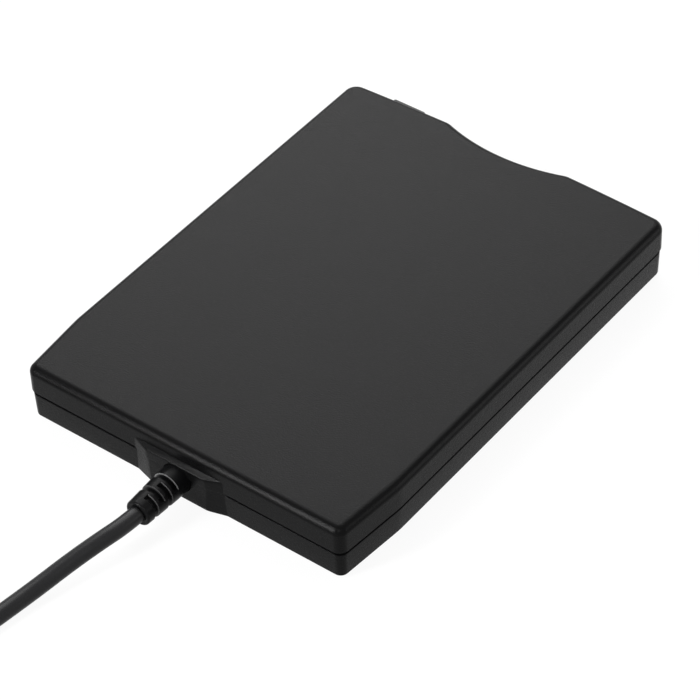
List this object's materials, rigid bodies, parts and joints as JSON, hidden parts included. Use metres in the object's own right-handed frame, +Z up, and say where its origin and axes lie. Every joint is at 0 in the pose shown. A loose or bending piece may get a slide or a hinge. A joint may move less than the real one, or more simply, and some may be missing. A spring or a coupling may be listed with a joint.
{
  "type": "external floppy disk drive",
  "caption": "Slim black external drive for 3.5 inch disks: two-part case with a disk slot, thumb scallop and eject button in front, and a slotted strain relief and USB cable at the rear.",
  "frame": {"origin": "centre of the drive's bottom box face, on the surface that its feet stand on, without the cable", "axes": "+Z up; the disk goes in at -Y and the cable leaves at +Y; +X is the right side seen from the front"},
  "size_m": [0.1298, 0.2515, 0.0175],
  "materials": {
    "case_plastic": "fine spark-eroded matt black moulding",
    "door_plastic": "smooth matt black moulding",
    "button_plastic": "smooth matt black moulding",
    "light_lens": "clear green tinted moulding",
    "foot_rubber": "matt black rubber",
    "relief_rubber": "soft black moulding",
    "cable_jacket": "satin black jacket",
    "plug_plastic": "satin black overmoulding",
    "plug_steel": "bright nickel plated sheet",
    "plug_tongue_resin": "white resin",
    "zinc_sheet": "zinc plated pressed sheet",
    "spring_wire": "bright spring wire",
    "machined_steel": "ground bright steel",
    "screw_steel": "plated screws",
    "iron_board": "green lacquered iron board",
    "circuit_board": "green lacquered glass board",
    "chip_resin": "moulded black resin",
    "coil_copper": "lacquered copper wire",
    "core_steel": "stamped core sheets",
    "magnet_ferrite": "dark bonded magnet",
    "bearing_bronze": "sintered bronze",
    "carriage_resin": "pale moulded resin",
    "switch_resin": "black moulded resin",
    "plunger_resin": "white moulded resin",
    "head_ceramic": "polished ceramic",
    "flex_film": "amber film",
    "connector_resin": "cream moulded resin",
    "lead_insulation": "thin coloured insulation"
  },
  "bodies": {
    "housing": {"upper_shell": "case_plastic", "lower_shell": "case_plastic", "rubber_feet": "foot_rubber", "case_screws": "screw_steel", "mechanism_screws": "screw_steel", "activity_light": "light_lens", "mechanism_chassis": "zinc_sheet", "mechanism_cover": "zinc_sheet", "latch_stud": "machined_steel", "latch_spring": "spring_wire", "media_switches": "switch_resin", "motor_board": "iron_board", "spindle_bearing": "bearing_bronze", "stator_core": "core_steel", "stator_coils": "coil_copper", "head_flex": "flex_film", "guide_rods": "machined_steel", "screw_bracket": "zinc_sheet", "stepper_motor": "zinc_sheet", "track_zero_sensor": "switch_resin", "main_board": "circuit_board", "board_chips": "chip_resin", "crystal": "plug_steel", "motor_link": "flex_film", "cable_connector": "connector_resin", "inner_leads": "lead_insulation", "strain_relief": "relief_rubber", "cable_lead": "cable_jacket", "cable_coil": "cable_jacket", "cable_tail": "cable_jacket", "plug_grip": "plug_plastic", "plug_shell": "plug_steel", "plug_tongue": "plug_tongue_resin"},
    "door": {"dust_door": "door_plastic", "door_spring": "spring_wire"},
    "eject_plate": {"eject_button": "button_plastic", "eject_slider": "zinc_sheet", "eject_springs": "spring_wire"},
    "carrier": {"disk_carrier": "zinc_sheet"},
    "latch": {"latch_lever": "zinc_sheet"},
    "spindle": {"rotor_cup": "zinc_sheet", "rotor_magnet": "magnet_ferrite", "spindle_shaft": "machined_steel", "spindle_hub": "machined_steel", "drive_pin": "machined_steel"},
    "carriage": {"head_carriage": "carriage_resin", "arm_hinge_pin": "machined_steel", "lower_head": "head_ceramic"},
    "head_arm": {"upper_head_arm": "zinc_sheet", "upper_head": "head_ceramic", "head_load_spring": "spring_wire"},
    "screw": {"lead_screw": "machined_steel"},
    "disk_switch": {"disk_switch_plunger": "plunger_resin"},
    "protect_switch": {"protect_switch_plunger": "plunger_resin"},
    "density_switch": {"density_switch_plunger": "plunger_resin"}
  },
  "joints": [
    {"name": "eject_slide", "type": "slide", "parent": "housing", "child": "eject_plate", "axis": [0, -1, 0], "range_m": [0, 0.005]},
    {"name": "carrier_drop", "type": "slide", "parent": "housing", "child": "carrier", "axis": [0, 0, -1], "range_m": [0, 0.0018]},
    {"name": "latch_swing", "type": "hinge", "parent": "housing", "child": "latch", "pos_m": [0.0339, 0.0331, 0.0112], "axis": [0, 0, -1], "range_deg": [0, 25]},
    {"name": "head_step", "type": "slide", "parent": "housing", "child": "carriage", "axis": [0, -1, 0], "range_m": [0, 0.015]},
    {"name": "lead_screw_turn", "type": "hinge", "parent": "housing", "child": "screw", "pos_m": [0.015, 0.0495, 0.00835], "axis": [0, 1, 0], "range_deg": [0, 1800]},
    {"name": "head_arm_lift", "type": "hinge", "parent": "carriage", "child": "head_arm", "pos_m": [0, 0.047, 0.00905], "axis": [1, 0, 0], "range_deg": [0, 8]},
    {"name": "spindle_spin", "type": "hinge", "parent": "housing", "child": "spindle", "pos_m": [0, -0.018, 0.00455], "axis": [0, 0, 1], "continuous": true},
    {"name": "door_swing", "type": "hinge", "parent": "housing", "child": "door", "pos_m": [0, -0.0637, 0.01145], "axis": [1, 0, 0], "range_deg": [0, 86], "stiffness_Nm_per_rad": 0.0001, "springref_deg": -17.19},
    {"name": "disk_switch_press", "type": "slide", "parent": "housing", "child": "disk_switch", "axis": [0, 0, -1], "range_m": [0, 0.0008], "stiffness_N_per_m": 100, "springref_m": -0.0004},
    {"name": "protect_switch_press", "type": "slide", "parent": "housing", "child": "protect_switch", "axis": [0, 0, -1], "range_m": [0, 0.0008], "stiffness_N_per_m": 100, "springref_m": -0.0004},
    {"name": "density_switch_press", "type": "slide", "parent": "housing", "child": "density_switch", "axis": [0, 0, -1], "range_m": [0, 0.0008], "stiffness_N_per_m": 100, "springref_m": -0.0004}
  ],
  "couplings": [
    {"joint": "carrier_drop", "follows": "eject_slide", "ratio": 0.36},
    {"joint": "latch_swing", "follows": "eject_slide", "rad_per_m": 87.266},
    {"joint": "head_arm_lift", "follows": "eject_slide", "rad_per_m": 27.925},
    {"joint": "lead_screw_turn", "follows": "head_step", "rad_per_m": 2094.4}
  ]
}
